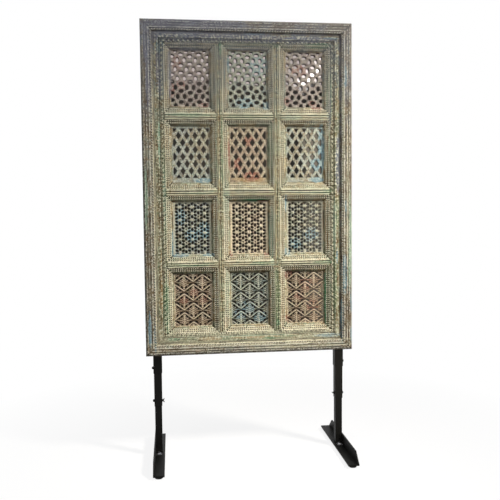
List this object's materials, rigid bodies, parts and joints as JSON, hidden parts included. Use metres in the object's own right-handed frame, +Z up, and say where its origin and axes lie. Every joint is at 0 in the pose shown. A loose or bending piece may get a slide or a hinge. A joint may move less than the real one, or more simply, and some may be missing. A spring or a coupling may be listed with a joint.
{
  "type": "carved panel on stand",
  "caption": "Tall carved wooden panel with pierced lattices in a mitred frame, on two black telescoping steel legs with angle iron feet.",
  "frame": {"origin": "on the floor, in the middle of the feet's footprint", "axes": "Z up, the carved front looks along -Y, X along the panel's width to the viewer's right"},
  "size_m": [1.2, 0.668, 2.495],
  "materials": {
    "weathered_outer_wood": "painted hardwood, worn to the grain, grey-brown with green and blue left",
    "weathered_green_wood": "painted hardwood, worn to the grain, olive green and beige",
    "limed_moulding_wood": "painted hardwood, rubbed back to a limed beige",
    "maroon_painted_wood": "pierced hardwood, worn maroon paint",
    "teal_painted_wood": "pierced hardwood, worn teal paint",
    "pale_blue_painted_wood": "pierced hardwood, worn pale blue paint",
    "salmon_painted_wood": "pierced hardwood, worn salmon paint",
    "blue_painted_wood": "pierced hardwood, worn blue paint",
    "terracotta_painted_wood": "pierced hardwood, worn terracotta paint",
    "dark_gloss_sheet": "dark glossy sheet",
    "plain_back_wood": "plain softwood battens",
    "black_painted_steel": "satin black paint on square tube and angle iron",
    "black_oxide_steel": "blackened bolts",
    "zinc_steel": "bright zinc plate",
    "black_rubber": "moulded black rubber"
  },
  "bodies": {
    "panel": {"outer_frame_left": "weathered_outer_wood", "outer_frame_right": "weathered_outer_wood", "outer_frame_bottom": "weathered_outer_wood", "outer_frame_top": "weathered_outer_wood", "inner_border_left": "weathered_green_wood", "inner_border_right": "weathered_green_wood", "inner_border_bottom": "weathered_green_wood", "inner_border_top": "weathered_green_wood", "mullion_left": "weathered_green_wood", "mullion_right": "weathered_green_wood", "cross_rails_1": "weathered_green_wood", "cross_rails_2": "weathered_green_wood", "cross_rails_3": "weathered_green_wood", "cell_moulding_r1c1": "limed_moulding_wood", "cell_moulding_r1c2": "limed_moulding_wood", "cell_moulding_r1c3": "limed_moulding_wood", "cell_moulding_r2c1": "limed_moulding_wood", "cell_moulding_r2c2": "limed_moulding_wood", "cell_moulding_r2c3": "limed_moulding_wood", "cell_moulding_r3c1": "limed_moulding_wood", "cell_moulding_r3c2": "limed_moulding_wood", "cell_moulding_r3c3": "limed_moulding_wood", "cell_moulding_r4c1": "limed_moulding_wood", "cell_moulding_r4c2": "limed_moulding_wood", "cell_moulding_r4c3": "limed_moulding_wood", "lattice_r1c1": "maroon_painted_wood", "lattice_r1c2": "teal_painted_wood", "lattice_r1c3": "maroon_painted_wood", "lattice_r2c1": "pale_blue_painted_wood", "lattice_r2c2": "salmon_painted_wood", "lattice_r2c3": "pale_blue_painted_wood", "lattice_r3c1": "blue_painted_wood", "lattice_r3c2": "salmon_painted_wood", "lattice_r3c3": "blue_painted_wood", "lattice_r4c1": "terracotta_painted_wood", "lattice_r4c2": "teal_painted_wood", "lattice_r4c3": "terracotta_painted_wood", "back_sheet": "dark_gloss_sheet", "sheet_battens": "plain_back_wood", "batten_screws": "zinc_steel", "sleeve_left": "black_painted_steel", "mounting_plates_left": "black_painted_steel", "sleeve_right": "black_painted_steel", "mounting_plates_right": "black_painted_steel", "plate_screws": "zinc_steel", "sleeve_lock_bolts": "black_oxide_steel"},
    "middle_left": {"middle_tube_left": "black_painted_steel", "middle_lock_bolt_left": "black_oxide_steel"},
    "wing_left": {"wing_screw_left": "black_oxide_steel"},
    "foot_left": {"post_left": "black_painted_steel", "foot_angle_left": "black_painted_steel", "foot_bolt_left": "zinc_steel", "glides_left": "black_rubber"},
    "middle_right": {"middle_tube_right": "black_painted_steel", "middle_lock_bolt_right": "black_oxide_steel"},
    "wing_right": {"wing_screw_right": "black_oxide_steel"},
    "foot_right": {"post_right": "black_painted_steel", "foot_angle_right": "black_painted_steel", "foot_bolt_right": "zinc_steel", "glides_right": "black_rubber"}
  },
  "joints": [
    {"name": "upper_slide_left", "type": "slide", "parent": "panel", "child": "middle_left", "axis": [0, 0, 1], "range_m": [-0.12, 0.14]},
    {"name": "lower_slide_left", "type": "slide", "parent": "middle_left", "child": "foot_left", "axis": [0, 0, 1], "range_m": [-0.15, 0.2]},
    {"name": "wing_turn_left", "type": "hinge", "parent": "middle_left", "child": "wing_left", "pos_m": [-0.5155, 0.028, 0.328], "axis": [1, 0, 0], "range_deg": [0, 360]},
    {"name": "upper_slide_right", "type": "slide", "parent": "panel", "child": "middle_right", "axis": [0, 0, 1], "range_m": [-0.12, 0.14]},
    {"name": "lower_slide_right", "type": "slide", "parent": "middle_right", "child": "foot_right", "axis": [0, 0, 1], "range_m": [-0.15, 0.2]},
    {"name": "wing_turn_right", "type": "hinge", "parent": "middle_right", "child": "wing_right", "pos_m": [0.5155, 0.028, 0.328], "axis": [-1, 0, 0], "range_deg": [0, 360]}
  ]
}
